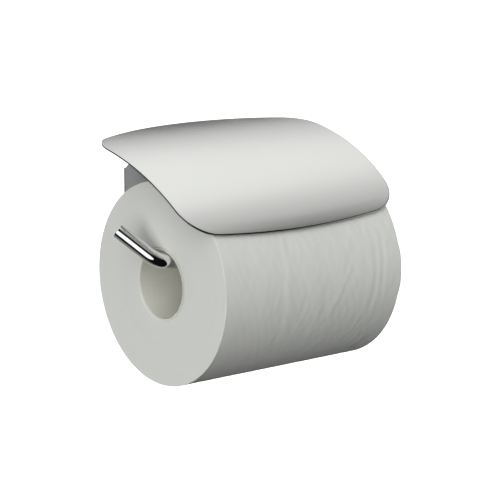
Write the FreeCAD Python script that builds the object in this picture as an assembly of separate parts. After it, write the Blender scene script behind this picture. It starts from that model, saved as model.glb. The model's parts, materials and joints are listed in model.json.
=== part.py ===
"""Wall-mounted toilet paper holder with a hinged lid, a bent rod and a roll of paper on it.

Frame: origin at the centre of the wall face of the bracket, +Y into the wall, +X to the right
as seen from the room, +Z up.  Millimetres.
"""
import FreeCAD, Part
import math
import os

Vector = FreeCAD.Vector
os.makedirs("parts", exist_ok=True)

# ---------------------------------------------------------------- roll of paper
ROLL_RADIUS = 52.4
ROLL_LENGTH = 117.4
ROLL_CENTRE = (3.0, -57.0, -37.3)
CORE_BORE_RADIUS = 17.65
CORE_WALL = 0.9
CORE_INSET = 0.4

# ---------------------------------------------------------------- rod
ROD_RADIUS = 3.75
ROD_Y = -62.85
ROD_Z = -25.02
ROD_BEND_RADIUS = 12.0
ROD_ELBOW_X = -60.4
ROD_ARM_TURN = 65.4
ROD_ARM_LENGTH = 27.2
ROD_TIP_CHAMFER = 0.4
ROD_LEG_X = 77.0
SOCKET_Y = -13.5
SOCKET_Z = 13.5
SOCKET_END_X = 10.0
SOCKET_FLOOR = 4.0

# ---------------------------------------------------------------- lid
LID_THICKNESS = 1.0
LID_HALF_WIDTH = 70.98
LID_LENGTH = 111.64
LID_SIDE_BOW = 2.84
LID_FRONT_BOW = 5.45
LID_BACK_BOW = 18.31
LID_CORNER_RADIUS = 20.17
LID_BACK_Y = -3.74
LID_BACK_Z = 34.04
LID_BACK_SLOPE = 0.0339
LID_CURVATURE = 0.004616
LID_CURVATURE_GROWTH = 5.284e-5
LID_CUT_MARGIN = 5.0

# ---------------------------------------------------------------- hinge
HINGE_Y = -10.0
HINGE_Z = 28.0
PIN_RADIUS = 2.0
PIN_HALF_LENGTH = 33.0
PIN_CHAMFER = 0.3
PIN_RUNNING_GAP = 0.05
BUSH_OUTER_RADIUS = 3.0
EAR_RADIUS = 4.2
EAR_WIDTH = 8.0
EAR_HEIGHT = 13.0
KNUCKLE_RADIUS = 4.0
CAP_GAP = 0.4
CAP_RISE = 0.6
CAP_ROUNDING = 0.5
WASHER_RADIUS = 3.9
WASHER_THICKNESS = 0.5
WASHER_GAP = 0.1
LEAF_THICKNESS = 1.5
LEAF_START = 4.0
LEAF_END = 34.0
WEB_DEPTH = 3.4
WEB_S = 10.0
STUD_RADIUS = 1.5
STUD_HEIGHT = 4.6
STUD_X = (-20.0, 20.0)
STUD_S = (15.0, 28.0)
NUT_ACROSS_FLATS = 5.5
NUT_HEIGHT = 2.0

# ---------------------------------------------------------------- bracket
BRACKET_HALF_WIDTH = 35.1
BRACKET_BACK_LOW = -13.0
BRACKET_BACK_HIGH = 13.0
BRACKET_FRONT_Y = -24.0
BRACKET_TOP_RISE = 0.7
BRACKET_TOP_SLOPE = 36.5
BRACKET_CROWN_Y = -14.5
BRACKET_CROWN_SHIFT = 0.3
BRACKET_WALL = 2.5
ROLL_CLEARANCE = 3.6
GASKET_THICKNESS = 1.0
PLATE_THICKNESS = 2.0
PLATE_HALF_WIDTH = 32.0
PLATE_LOW = -10.2
PLATE_HIGH = 10.2
PLATE_CORNER_RADIUS = 2.0
PLATE_TAB_DEPTH = 4.0
PLATE_TAB_HALF_WIDTH = 5.0
PLATE_TAB_THICKNESS = 2.0
WALL_HOLE_X = 22.0
WALL_HOLE_Z = -3.0
WALL_HOLE_RADIUS = 2.6
BOSS_RADIUS = 8.0
COLLAR_RADIUS = 7.6
COLLAR_LENGTH = 3.0
COLLAR_ROUNDING = 0.8
SIDE_EDGE_CHAMFER = 0.6
GRUB_SMALL_RADIUS = 1.5
GRUB_SMALL_Y = -3.7
GRUB_SMALL_X = (-16.0, 16.0)
GRUB_LARGE_RADIUS = 2.0
GRUB_LARGE_X = 22.0
GRUB_LARGE_LENGTH = 5.0
GRUB_CHAMFER_SHARE = 0.2
GRUB_SINK = 0.1
BUMPER_X = (-24.0, 24.0)
BUMPER_RADIUS = 3.0
BUMPER_HEIGHT = 1.8
BUMPER_ROUNDING = 0.7
BUMPER_STEM_RADIUS = 1.4
BUMPER_STEM_DEPTH = 2.0
SHOULDER_DROP = 3.5
HEX_SOCKET_DEPTH = 1.2
FIT_GAP = 0.02
OVERCUT = 1.0
TOUCH = 0.01
REACH = 200.0
CURVE_STEPS = 40
STRIP_STEPS = 8


def save(shape, node):
    shape.exportStep("parts/%s.step" % node)
    print("%-22s solids %d  volume %9.1f mm3  valid %s"
          % (node, len(shape.Solids), shape.Volume, shape.isValid()))


def cylinder_x(radius, x_low, x_high, y, z):
    return Part.makeCylinder(radius, x_high - x_low, Vector(x_low, y, z), Vector(1, 0, 0))


def cylinder_z(radius, x, y, z_low, z_high):
    return Part.makeCylinder(radius, z_high - z_low, Vector(x, y, z_low), Vector(0, 0, 1))


def cylinder_y(radius, x, z, y_low, y_high):
    return Part.makeCylinder(radius, y_high - y_low, Vector(x, y_low, z), Vector(0, 1, 0))


def box(x_low, x_high, y_low, y_high, z_low, z_high):
    corner = Vector(x_low, y_low, z_low)
    return Part.makeBox(x_high - x_low, y_high - y_low, z_high - z_low, corner)


def end_edges(body, x):
    """The edges that lie in the plane at this x."""
    return [e for e in body.Edges if abs(e.CenterOfMass.x - x) < TOUCH]


def hex_prism(across_flats, base, axis, height):
    """A hexagonal prism that stands on base and points along axis."""
    corner = across_flats / 2 / math.cos(math.pi / 6)
    points = []
    for i in range(7):
        angle = i * math.pi / 3
        points.append(Vector(corner * math.cos(angle), corner * math.sin(angle), 0))
    prism = Part.Face(Part.makePolygon(points)).extrude(Vector(0, 0, height))
    prism.Placement = FreeCAD.Placement(base, FreeCAD.Rotation(Vector(0, 0, 1), axis))
    return prism


def extrude_profile(edges, x_low, x_high):
    """Extrude a closed profile, drawn in the plane x = x_low, to x = x_high."""
    face = Part.Face(Part.Wire(edges))
    return face.extrude(Vector(x_high - x_low, 0, 0))


# ---------------------------------------------------------------- roll
def roll_tube(outer_radius, inner_radius, inset):
    """A tube on the roll's axis, shorter than the roll by inset at each end."""
    x, y, z = ROLL_CENTRE
    half = ROLL_LENGTH / 2 - inset
    outer = cylinder_x(outer_radius, x - half, x + half, y, z)
    return outer.cut(cylinder_x(inner_radius, x - half - OVERCUT, x + half + OVERCUT, y, z))


def paper_roll():
    return roll_tube(ROLL_RADIUS, CORE_BORE_RADIUS + CORE_WALL, 0)


def cardboard_core():
    return roll_tube(CORE_BORE_RADIUS + CORE_WALL, CORE_BORE_RADIUS, CORE_INSET)


# ---------------------------------------------------------------- rod
def bent_path(points, radii):
    """Straight runs joined by tangent arcs, one radius for each inner point."""
    edges = []
    start = points[0]
    for before, corner, after, radius in zip(points, points[1:], points[2:], radii):
        back = (before - corner).normalize()
        ahead = (after - corner).normalize()
        turn = math.pi - back.getAngle(ahead)
        tangent = radius * math.tan(turn / 2)
        middle_way = (back + ahead).normalize()
        arc_start = corner + back * tangent
        arc_end = corner + ahead * tangent
        arc_middle = corner + middle_way * (radius / math.cos(turn / 2) - radius)
        edges.append(Part.LineSegment(start, arc_start).toShape())
        edges.append(Part.Arc(arc_start, arc_middle, arc_end).toShape())
        start = arc_end
    edges.append(Part.LineSegment(start, points[-1]).toShape())
    return Part.Wire(edges)


def rod_points():
    """Corners of the rod's line.  The whole rod lies in one plane that rises towards the wall."""
    socket = Vector(SOCKET_END_X, SOCKET_Y, SOCKET_Z)
    leg_back = Vector(ROD_LEG_X, SOCKET_Y, SOCKET_Z)
    leg_front = Vector(ROD_LEG_X, ROD_Y, ROD_Z)
    elbow = Vector(ROD_ELBOW_X, ROD_Y, ROD_Z)
    turn = math.radians(ROD_ARM_TURN)
    rise = (leg_back - leg_front).normalize()
    arm = Vector(-1, 0, 0) * math.cos(turn) + rise * math.sin(turn)
    return [socket, leg_back, leg_front, elbow, elbow + arm * ROD_ARM_LENGTH]


def roll_rod():
    points = rod_points()
    path = bent_path(points, [ROD_BEND_RADIUS] * 3)
    circle = Part.Circle(points[0], Vector(1, 0, 0), ROD_RADIUS)
    rod = path.makePipeShell([Part.Wire(circle.toShape())], True, False).Solids[0]
    section = math.pi * ROD_RADIUS ** 2
    print("rod length %.1f mm, section x length %.1f, volume %.1f"
          % (path.Length, path.Length * section, rod.Volume))
    tip_edges = [e for e in rod.Edges if (e.CenterOfMass - points[-1]).Length < ROD_RADIUS / 2]
    return rod.makeChamfer(ROD_TIP_CHAMFER, tip_edges)


# ---------------------------------------------------------------- lid
def lid_slope(s):
    return LID_BACK_SLOPE + LID_CURVATURE * s + LID_CURVATURE_GROWTH * s * s / 2


def lid_point(s, depth=0.0):
    """(y, z) at distance s along the lid from its back, depth below its outer face."""
    y = LID_BACK_Y
    z = LID_BACK_Z
    step = s / CURVE_STEPS
    for i in range(CURVE_STEPS):
        slope = lid_slope((i + 0.5) * step)
        y -= math.cos(slope) * step
        z -= math.sin(slope) * step
    slope = lid_slope(s)
    return y + math.sin(slope) * depth, z - math.cos(slope) * depth


def lid_strip(s_low, s_high, depth_low, depth_high, x_low, x_high):
    """A curved strip of the lid's own profile, between two depths."""
    lines = []
    for depth in (depth_low, depth_high):
        points = []
        for i in range(STRIP_STEPS + 1):
            y, z = lid_point(s_low + (s_high - s_low) * i / STRIP_STEPS, depth)
            points.append(Vector(x_low, y, z))
        curve = Part.BSplineCurve()
        curve.interpolate(points)
        lines.append(curve.toShape())
    ends = []
    for place in (0, -1):
        a = lines[0].Vertexes[place].Point
        b = lines[1].Vertexes[place].Point
        ends.append(Part.LineSegment(a, b).toShape())
    return extrude_profile(Part.__sortEdges__(lines + ends), x_low, x_high)


def flat_outline():
    """The lid's outline before bending, in (x, s): bowed sides with rounded corners."""
    def side(sign):
        points = []
        s_end = LID_LENGTH - LID_FRONT_BOW
        for s in (LID_BACK_BOW, 0.4 * LID_LENGTH, 0.7 * LID_LENGTH, s_end):
            x = LID_HALF_WIDTH - LID_SIDE_BOW * (2 * s / LID_LENGTH - 1) ** 2
            points.append(Vector(sign * x, s, 0))
        return points

    def across(corner, middle_s):
        points = []
        for share in (-1.0, -0.6, -0.2, 0.2, 0.6, 1.0):
            s = middle_s + (corner.y - middle_s) * share ** 2
            points.append(Vector(share * corner.x, s, 0))
        return points

    right = side(1)
    left = side(-1)
    front = across(right[-1], LID_LENGTH)
    back = across(right[0], 0.0)
    edges = []
    for points in (back, right, list(reversed(front)), list(reversed(left))):
        curve = Part.BSplineCurve()
        curve.interpolate(points)
        edges.append(curve.toShape())
    slab = Part.Face(Part.Wire(edges)).extrude(Vector(0, 0, 1))
    upright = [e for e in slab.Edges if abs(e.Vertexes[0].Z - e.Vertexes[-1].Z) > TOUCH]
    slab = slab.makeFillet(LID_CORNER_RADIUS, upright)
    bottom = [f for f in slab.Faces if abs(f.CenterOfMass.z) < TOUCH][0]
    return bottom.OuterWire


def lid_plate():
    """The bent sheet, cut to the outline's shadow seen from above."""
    edges = []
    for edge in flat_outline().OrderedEdges:
        points = []
        for p in edge.discretize(STRIP_STEPS + 1):
            points.append(Vector(p.x, lid_point(p.y)[0], 0))
        curve = Part.BSplineCurve()
        curve.interpolate(points)
        edges.append(curve.toShape())
    shadow = Part.Face(Part.Wire(Part.__sortEdges__(edges)))
    prism = shadow.extrude(Vector(0, 0, REACH))
    prism.translate(Vector(0, 0, -REACH / 2))
    half = LID_HALF_WIDTH + LID_CUT_MARGIN
    strip = lid_strip(-LID_CUT_MARGIN, LID_LENGTH + LID_CUT_MARGIN, 0, LID_THICKNESS, -half, half)
    return strip.common(prism).Solids[0]


def stud_places():
    """(foot, inward normal) of each stud on the underside of the lid."""
    places = []
    for x in STUD_X:
        for s in STUD_S:
            slope = lid_slope(s)
            y, z = lid_point(s, LID_THICKNESS + FIT_GAP)
            places.append((Vector(x, y, z), Vector(0, math.sin(slope), -math.cos(slope))))
    return places


def lid_studs():
    studs = [Part.makeCylinder(STUD_RADIUS, STUD_HEIGHT, p, n) for p, n in stud_places()]
    return Part.makeCompound(studs)


def lid_nuts():
    nuts = []
    for p, n in stud_places():
        base = p + n * (LEAF_THICKNESS + 2 * FIT_GAP)
        hole = Part.makeCylinder(STUD_RADIUS + FIT_GAP, NUT_HEIGHT + 2 * OVERCUT, base - n * OVERCUT, n)
        nuts.append(hex_prism(NUT_ACROSS_FLATS, base, n, NUT_HEIGHT).cut(hole))
    return Part.makeCompound(nuts)


def barrel_half_length():
    return BRACKET_HALF_WIDTH - EAR_WIDTH - WASHER_THICKNESS - 2 * WASHER_GAP


def lid_hinge_barrel():
    """The knuckle on the pin, a web, and the leaf that is bolted under the lid."""
    half = barrel_half_length()
    depth = LID_THICKNESS + FIT_GAP
    leaf = lid_strip(LEAF_START, LEAF_END, depth, depth + LEAF_THICKNESS, -half, half)
    knuckle = cylinder_x(KNUCKLE_RADIUS, -half, half, HINGE_Y, HINGE_Z)
    leaf_z = lid_point(WEB_S, depth + LEAF_THICKNESS / 2)[1]
    web = box(-half, half, HINGE_Y - WEB_DEPTH, HINGE_Y, HINGE_Z, leaf_z)
    body = leaf.fuse([knuckle, web]).removeSplitter()
    bore = cylinder_x(PIN_RADIUS + FIT_GAP, -half - OVERCUT, half + OVERCUT, HINGE_Y, HINGE_Z)
    body = body.cut(bore)
    for p, n in stud_places():
        length = STUD_HEIGHT + 2 * OVERCUT
        body = body.cut(Part.makeCylinder(STUD_RADIUS + FIT_GAP, length, p - n * OVERCUT, n))
    return body.Solids[0]


# ---------------------------------------------------------------- hinge pieces
def hinge_pin():
    pin = cylinder_x(PIN_RADIUS, -PIN_HALF_LENGTH, PIN_HALF_LENGTH, HINGE_Y, HINGE_Z)
    rims = end_edges(pin, -PIN_HALF_LENGTH) + end_edges(pin, PIN_HALF_LENGTH)
    return pin.makeChamfer(PIN_CHAMFER, rims)


def hinge_bush(side):
    inner = BRACKET_HALF_WIDTH - EAR_WIDTH
    outer = PIN_HALF_LENGTH + PIN_CHAMFER
    x_low, x_high = sorted((side * inner, side * outer))
    bush = cylinder_x(BUSH_OUTER_RADIUS - FIT_GAP, x_low, x_high, HINGE_Y, HINGE_Z)
    bore_radius = PIN_RADIUS + PIN_RUNNING_GAP
    return bush.cut(cylinder_x(bore_radius, x_low - OVERCUT, x_high + OVERCUT, HINGE_Y, HINGE_Z))


def hinge_cap(side):
    """A low domed plug in the outer end of the ear's bore."""
    base = PIN_HALF_LENGTH + CAP_GAP
    end = BRACKET_HALF_WIDTH + CAP_RISE
    plug = cylinder_x(BUSH_OUTER_RADIUS - FIT_GAP, base, end, HINGE_Y, HINGE_Z)
    plug = plug.makeFillet(CAP_ROUNDING, end_edges(plug, end))
    if side < 0:
        plug = plug.mirror(Vector(0, 0, 0), Vector(1, 0, 0))
    return plug


def hinge_washers():
    washers = []
    inner = BRACKET_HALF_WIDTH - EAR_WIDTH - WASHER_GAP - WASHER_THICKNESS
    for side in (-1, 1):
        x_low, x_high = sorted((side * inner, side * (inner + WASHER_THICKNESS)))
        ring = cylinder_x(WASHER_RADIUS, x_low, x_high, HINGE_Y, HINGE_Z)
        hole = cylinder_x(PIN_RADIUS + FIT_GAP, x_low - OVERCUT, x_high + OVERCUT, HINGE_Y, HINGE_Z)
        washers.append(ring.cut(hole))
    return Part.makeCompound(washers)


# ---------------------------------------------------------------- bracket
def top_line(offset):
    """Back end of the sloping top, moved down by offset square to it, and the way it runs."""
    slope = math.radians(BRACKET_TOP_SLOPE)
    start = Vector(0, -GASKET_THICKNESS, BRACKET_BACK_HIGH + BRACKET_TOP_RISE)
    way = Vector(0, -math.cos(slope), math.sin(slope))
    down = Vector(0, -math.sin(slope), -math.cos(slope)) * offset
    return start + down, way


def crown_and_shoulder(offset, x):
    """Upper and lower ends of the front slope of the bracket's top."""
    start, way = top_line(offset)
    crown_y = BRACKET_CROWN_Y + offset * BRACKET_CROWN_SHIFT
    crown_z = start.z + (start.y - crown_y) / -way.y * way.z
    crown = Vector(x, crown_y, crown_z)
    return crown, Vector(x, BRACKET_FRONT_Y + offset, crown_z - SHOULDER_DROP)


def bracket_profile(offset, x_low, x_high, back_y):
    """Wedge-shaped side profile with a front hollowed to clear the roll, shrunk by offset."""
    radius = ROLL_RADIUS + ROLL_CLEARANCE + offset
    axis_y, axis_z = ROLL_CENTRE[1], ROLL_CENTRE[2]

    def on_arc_at_y(y):
        return Vector(x_low, y, axis_z + math.sqrt(radius ** 2 - (y - axis_y) ** 2))

    crown, shoulder = crown_and_shoulder(offset, x_low)
    start, way = top_line(offset)
    low_z = BRACKET_BACK_LOW + offset
    low_front = Vector(x_low, axis_y + math.sqrt(radius ** 2 - (low_z - axis_z) ** 2), low_z)
    high_front = on_arc_at_y(shoulder.y)
    middle = on_arc_at_y((low_front.y + high_front.y) / 2)
    back_top = Vector(x_low, back_y, start.z + (start.y - back_y) / -way.y * way.z)
    back_low = Vector(x_low, back_y, low_z)
    edges = [
        Part.LineSegment(back_low, low_front).toShape(),
        Part.Arc(low_front, middle, high_front).toShape(),
        Part.LineSegment(high_front, shoulder).toShape(),
        Part.LineSegment(shoulder, crown).toShape(),
        Part.LineSegment(crown, back_top).toShape(),
        Part.LineSegment(back_top, back_low).toShape(),
    ]
    return extrude_profile(edges, x_low, x_high)


def ear(side):
    """A lug that rises from the sloping top and is round about the hinge axis."""
    x_low, x_high = sorted((side * (BRACKET_HALF_WIDTH - EAR_WIDTH), side * BRACKET_HALF_WIDTH))
    tip = cylinder_x(EAR_RADIUS, x_low, x_high, HINGE_Y, HINGE_Z)
    y_low = HINGE_Y - EAR_RADIUS
    y_high = HINGE_Y + EAR_RADIUS
    return tip.fuse(box(x_low, x_high, y_low, y_high, HINGE_Z - EAR_HEIGHT, HINGE_Z))


def bumper_places():
    """Seats of the lid's two stop bumpers on the front slope, and the way they point."""
    crown, shoulder = crown_and_shoulder(0, 0)
    along = (shoulder - crown).normalize()
    way = Vector(0, along.z, -along.y)
    middle = (crown + shoulder) * 0.5
    return [(Vector(x, middle.y, middle.z), way) for x in BUMPER_X]


def lid_stop_bumpers():
    bumpers = []
    for place, way in bumper_places():
        base = place + way * FIT_GAP
        head = Part.makeCylinder(BUMPER_RADIUS, BUMPER_HEIGHT, base, way)
        top = base + way * BUMPER_HEIGHT
        rim = [e for e in head.Edges if (e.CenterOfMass - top).Length < TOUCH]
        head = head.makeFillet(BUMPER_ROUNDING, rim)
        stem = Part.makeCylinder(BUMPER_STEM_RADIUS, BUMPER_STEM_DEPTH, base + way * FIT_GAP, way * -1)
        bumpers.append(head.fuse(stem))
    return Part.makeCompound(bumpers)


def side_edges(body, half):
    """Outer edges of the two side faces, apart from the ones that meet the wall gasket."""
    edges = []
    for edge in body.Edges:
        centre = edge.CenterOfMass
        if abs(abs(centre.x) - half) < TOUCH and centre.y < -GASKET_THICKNESS - TOUCH:
            edges.append(edge)
    return edges


def bracket_housing():
    half = BRACKET_HALF_WIDTH
    outer = bracket_profile(0, -half, half, -GASKET_THICKNESS)
    inner_half = half - BRACKET_WALL
    pocket = bracket_profile(BRACKET_WALL, -inner_half, inner_half, -GASKET_THICKNESS + FIT_GAP)
    boss_x = SOCKET_END_X - SOCKET_FLOOR
    boss = cylinder_x(BOSS_RADIUS, boss_x, half, SOCKET_Y, SOCKET_Z).common(outer)
    body = outer.fuse([ear(-1), ear(1)]).removeSplitter()
    body = body.makeChamfer(SIDE_EDGE_CHAMFER, side_edges(body, half))
    body = body.cut(pocket.cut(boss))
    socket_x = SOCKET_END_X - FIT_GAP
    body = body.cut(cylinder_x(ROD_RADIUS + FIT_GAP, socket_x, half + OVERCUT, SOCKET_Y, SOCKET_Z))
    body = body.cut(cylinder_x(BUSH_OUTER_RADIUS, -half - OVERCUT, half + OVERCUT, HINGE_Y, HINGE_Z))
    small_hole = GRUB_SMALL_RADIUS + FIT_GAP
    low = BRACKET_BACK_LOW - OVERCUT
    high = BRACKET_BACK_LOW + BRACKET_WALL + OVERCUT
    for x in GRUB_SMALL_X:
        body = body.cut(cylinder_z(small_hole, x, GRUB_SMALL_Y, low, high))
    large_hole = GRUB_LARGE_RADIUS + FIT_GAP
    body = body.cut(cylinder_z(large_hole, GRUB_LARGE_X, SOCKET_Y, low, SOCKET_Z))
    for place, way in bumper_places():
        depth = BUMPER_STEM_DEPTH + FIT_GAP
        body = body.cut(Part.makeCylinder(BUMPER_STEM_RADIUS + FIT_GAP, depth, place, way * -1))
    return body.Solids[0]


def cut_wall_holes(body, y_low, y_high):
    for x in (-WALL_HOLE_X, WALL_HOLE_X):
        body = body.cut(cylinder_y(WALL_HOLE_RADIUS, x, WALL_HOLE_Z, y_low, y_high))
    return body


def wall_gasket():
    half = BRACKET_HALF_WIDTH
    sheet = box(-half, half, -GASKET_THICKNESS, 0, BRACKET_BACK_LOW, BRACKET_BACK_HIGH)
    return cut_wall_holes(sheet, -GASKET_THICKNESS - OVERCUT, OVERCUT)


def wall_plate():
    """The steel plate that is screwed to the wall, with two folded tabs for the grub screws."""
    back = -GASKET_THICKNESS - FIT_GAP
    front = back - PLATE_THICKNESS
    plate = box(-PLATE_HALF_WIDTH, PLATE_HALF_WIDTH, front, back, PLATE_LOW, PLATE_HIGH)
    corners = [e for e in plate.Edges if abs(e.Vertexes[0].Y - e.Vertexes[-1].Y) > TOUCH]
    plate = plate.makeFillet(PLATE_CORNER_RADIUS, corners)
    tab_top = PLATE_LOW + PLATE_TAB_THICKNESS
    for x in GRUB_SMALL_X:
        x_low = x - PLATE_TAB_HALF_WIDTH
        x_high = x + PLATE_TAB_HALF_WIDTH
        tab = box(x_low, x_high, back - PLATE_TAB_DEPTH, front + PLATE_THICKNESS / 4, PLATE_LOW, tab_top)
        plate = plate.fuse(tab)
    plate = plate.removeSplitter()
    return cut_wall_holes(plate, front - OVERCUT, back + OVERCUT)


def grub_screw(radius, x, y, z_low, z_high):
    """A headless screw with a hexagon socket in its lower end."""
    screw = cylinder_z(radius, x, y, z_low, z_high)
    rim = [e for e in screw.Edges if abs(e.CenterOfMass.z - z_high) < TOUCH]
    screw = screw.makeChamfer(radius * GRUB_CHAMFER_SHARE, rim)
    socket_base = Vector(x, y, z_low - TOUCH)
    return screw.cut(hex_prism(radius, socket_base, Vector(0, 0, 1), HEX_SOCKET_DEPTH))


def housing_grub_screws():
    top = PLATE_LOW - FIT_GAP
    bottom = BRACKET_BACK_LOW + GRUB_SINK
    screws = [grub_screw(GRUB_SMALL_RADIUS, x, GRUB_SMALL_Y, bottom, top) for x in GRUB_SMALL_X]
    return Part.makeCompound(screws)


def rod_grub_screw():
    top = SOCKET_Z - ROD_RADIUS - FIT_GAP
    return grub_screw(GRUB_LARGE_RADIUS, GRUB_LARGE_X, SOCKET_Y, top - GRUB_LARGE_LENGTH, top)


def rod_collar():
    """The polished ring that covers the rod's hole in the side of the bracket."""
    x_low = BRACKET_HALF_WIDTH + FIT_GAP
    x_high = x_low + COLLAR_LENGTH
    ring = cylinder_x(COLLAR_RADIUS, x_low, x_high, SOCKET_Y, SOCKET_Z)
    ring = ring.makeFillet(COLLAR_ROUNDING, end_edges(ring, x_high))
    hole_radius = ROD_RADIUS + FIT_GAP
    return ring.cut(cylinder_x(hole_radius, x_low - OVERCUT, x_high + OVERCUT, SOCKET_Y, SOCKET_Z))


save(wall_gasket(), "wall_gasket")
save(wall_plate(), "wall_plate")
save(bracket_housing(), "bracket_housing")
save(housing_grub_screws(), "housing_grub_screws")
save(rod_grub_screw(), "rod_grub_screw")
save(rod_collar(), "rod_collar")
save(roll_rod(), "roll_rod")
save(lid_stop_bumpers(), "lid_stop_bumpers")
save(hinge_bush(-1), "hinge_bush_left")
save(hinge_bush(1), "hinge_bush_right")
save(hinge_cap(-1), "hinge_cap_left")
save(hinge_cap(1), "hinge_cap_right")
save(hinge_washers(), "hinge_washers")
save(hinge_pin(), "hinge_pin")
save(lid_hinge_barrel(), "lid_hinge_barrel")
save(lid_studs(), "lid_studs")
save(lid_nuts(), "lid_nuts")
save(lid_plate(), "lid_plate")
save(cardboard_core(), "cardboard_core")
save(paper_roll(), "paper_roll")
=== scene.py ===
"""Looks of a wall-mounted toilet paper holder: satin lid, chrome rod, grey bracket and a full roll.

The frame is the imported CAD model: +Y into the wall, +X right, +Z up, in metres. Shapes are worked out
here in millimetres, and add_mesh turns them into metres.
"""
import json
import math

import bmesh
import bpy
import numpy as np
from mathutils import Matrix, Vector


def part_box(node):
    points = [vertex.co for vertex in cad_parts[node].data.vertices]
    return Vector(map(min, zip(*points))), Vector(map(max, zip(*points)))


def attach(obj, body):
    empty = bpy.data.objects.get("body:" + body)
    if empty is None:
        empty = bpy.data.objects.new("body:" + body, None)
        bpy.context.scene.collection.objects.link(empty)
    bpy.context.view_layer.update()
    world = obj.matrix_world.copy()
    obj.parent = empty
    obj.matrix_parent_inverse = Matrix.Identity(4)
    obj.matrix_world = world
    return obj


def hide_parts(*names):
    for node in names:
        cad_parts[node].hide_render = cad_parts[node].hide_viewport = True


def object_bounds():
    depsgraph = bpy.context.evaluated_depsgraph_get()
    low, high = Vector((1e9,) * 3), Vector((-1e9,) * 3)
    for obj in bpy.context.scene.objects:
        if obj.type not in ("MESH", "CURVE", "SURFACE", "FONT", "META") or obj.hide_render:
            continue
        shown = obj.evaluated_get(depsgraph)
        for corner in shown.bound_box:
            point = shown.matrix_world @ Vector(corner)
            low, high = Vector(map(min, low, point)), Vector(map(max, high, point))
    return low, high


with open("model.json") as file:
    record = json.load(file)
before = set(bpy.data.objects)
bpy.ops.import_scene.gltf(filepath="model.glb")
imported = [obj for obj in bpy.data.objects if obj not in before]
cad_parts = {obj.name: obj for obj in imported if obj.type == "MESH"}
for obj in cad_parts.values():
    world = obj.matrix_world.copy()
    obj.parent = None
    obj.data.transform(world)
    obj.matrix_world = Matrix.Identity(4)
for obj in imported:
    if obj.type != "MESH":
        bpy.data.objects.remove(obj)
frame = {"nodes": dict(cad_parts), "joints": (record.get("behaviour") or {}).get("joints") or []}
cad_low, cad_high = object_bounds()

MM = 0.001
FULL_TURN = 2 * math.pi


# ---------------------------------------------------------------- sizes from the frame, in millimetres
def in_millimetres(point):
    """A point of the frame in millimetres, to the nearest thousandth."""
    return tuple(round(value / MM, 3) for value in point)


roll_joint = next(joint for joint in frame["joints"] if joint["name"] == "roll_spin")
roll_low, roll_high = map(in_millimetres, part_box("paper_roll"))
core_high = in_millimetres(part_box("cardboard_core")[1])

ROLL_CENTRE = in_millimetres(roll_joint["pos_m"])
ROLL_LENGTH = roll_high[0] - roll_low[0]
ROLL_RADIUS = roll_high[2] - ROLL_CENTRE[2]
CORE_RADIUS = core_high[2] - ROLL_CENTRE[2]

# ---------------------------------------------------------------- other sizes, as in the CAD source
# In millimetres, and degrees for ROD_ARM_TURN.
CORE_WALL = 0.9
CORE_BORE_RADIUS = CORE_RADIUS - CORE_WALL

ROD_RADIUS = 3.75
ROD_Y = -62.85
ROD_Z = -25.02
ROD_BEND_RADIUS = 12.0
ROD_ELBOW_X = -60.4
ROD_ARM_TURN = 65.4
ROD_ARM_LENGTH = 27.2
ROD_LEG_X = 77.0
SOCKET_Y = -13.5
SOCKET_Z = 13.5
SOCKET_END_X = 10.0

LID_THICKNESS = 1.0
LID_HALF_WIDTH = 70.98
LID_LENGTH = 111.64
LID_SIDE_BOW = 2.84
LID_FRONT_BOW = 5.45
LID_BACK_BOW = 18.31
LID_CORNER_RADIUS = 20.17
LID_BACK_Y = -3.74
LID_BACK_Z = 34.04
LID_BACK_SLOPE = 0.0339
LID_CURVATURE = 0.004616
LID_CURVATURE_GROWTH = 5.284e-5

# Finer than in the CAD source: the core reaches nearly to the roll's ends, and edges are rounded.
CORE_INSET = 0.05
ROD_TIP_ROUNDING = 0.4
LID_ROLLOVER_WIDTH = 0.7
LID_ROLLOVER_DEPTH = 0.14
LID_LOWER_ROUNDING = 0.1

# ---------------------------------------------------------------- camera and light
# The camera's place is in metres, its lens and sensor in millimetres.
CAMERA_PLACE = (-0.78543, -0.99790, 0.21697)
CAMERA_WAY = (0.6301, 0.7516, -0.1950)
CAMERA_LENS = 173.3
CAMERA_SENSOR = 36.0

# Soft areas of light, each by direction: azimuth from +Y towards +X and elevation of its middle, the
# half-angles where it starts and stops fading, its strength for matt surfaces and for reflections.
LIGHT_AREAS = (
    # High up, as the lid mirrors it: a brighter middle in a wide dome.
    (24.0, 65.0, 31.0, 41.0, 0.0, 0.31),
    (27.0, 65.3, 41.5, 53.5, 0.0, 0.62),
    # From the front left: the main light on matt surfaces and a weak low one.
    (-150.0, 45.0, 10.0, 60.0, 1.70, 0.0),
    (-145.0, 0.0, 10.0, 55.0, 0.27, 0.0),
    # From the left, with a crisp edge: on the roll's end, and as the white band along the rod.
    (-110.0, 2.0, 26.5, 28.5, 2.05, 1.15),
    # Reflections only: low behind, high in front, to the right and high to the left.
    (0.0, -36.0, 30.0, 52.0, 0.0, 0.24),
    (-170.0, 63.0, 6.0, 28.0, 0.0, 0.33),
    (110.0, 5.0, 20.0, 34.0, 0.0, 0.80),
    (-70.0, 42.0, 12.0, 42.0, 0.0, 0.75),
    # From the back right: a wide fill on matt surfaces.
    (45.0, 20.0, 10.0, 60.0, 1.60, 0.0),
)
AMBIENT_MATT = 0.02
AMBIENT_REFLECTED = 0.004
BACKGROUND_WHITE = 1.0

# The floor's distance below the object and its half size are in metres.
FLOOR_DROP = 1.2
FLOOR_HALF_SIZE = 40.0
FLOOR_GLOW = 1.0


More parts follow.
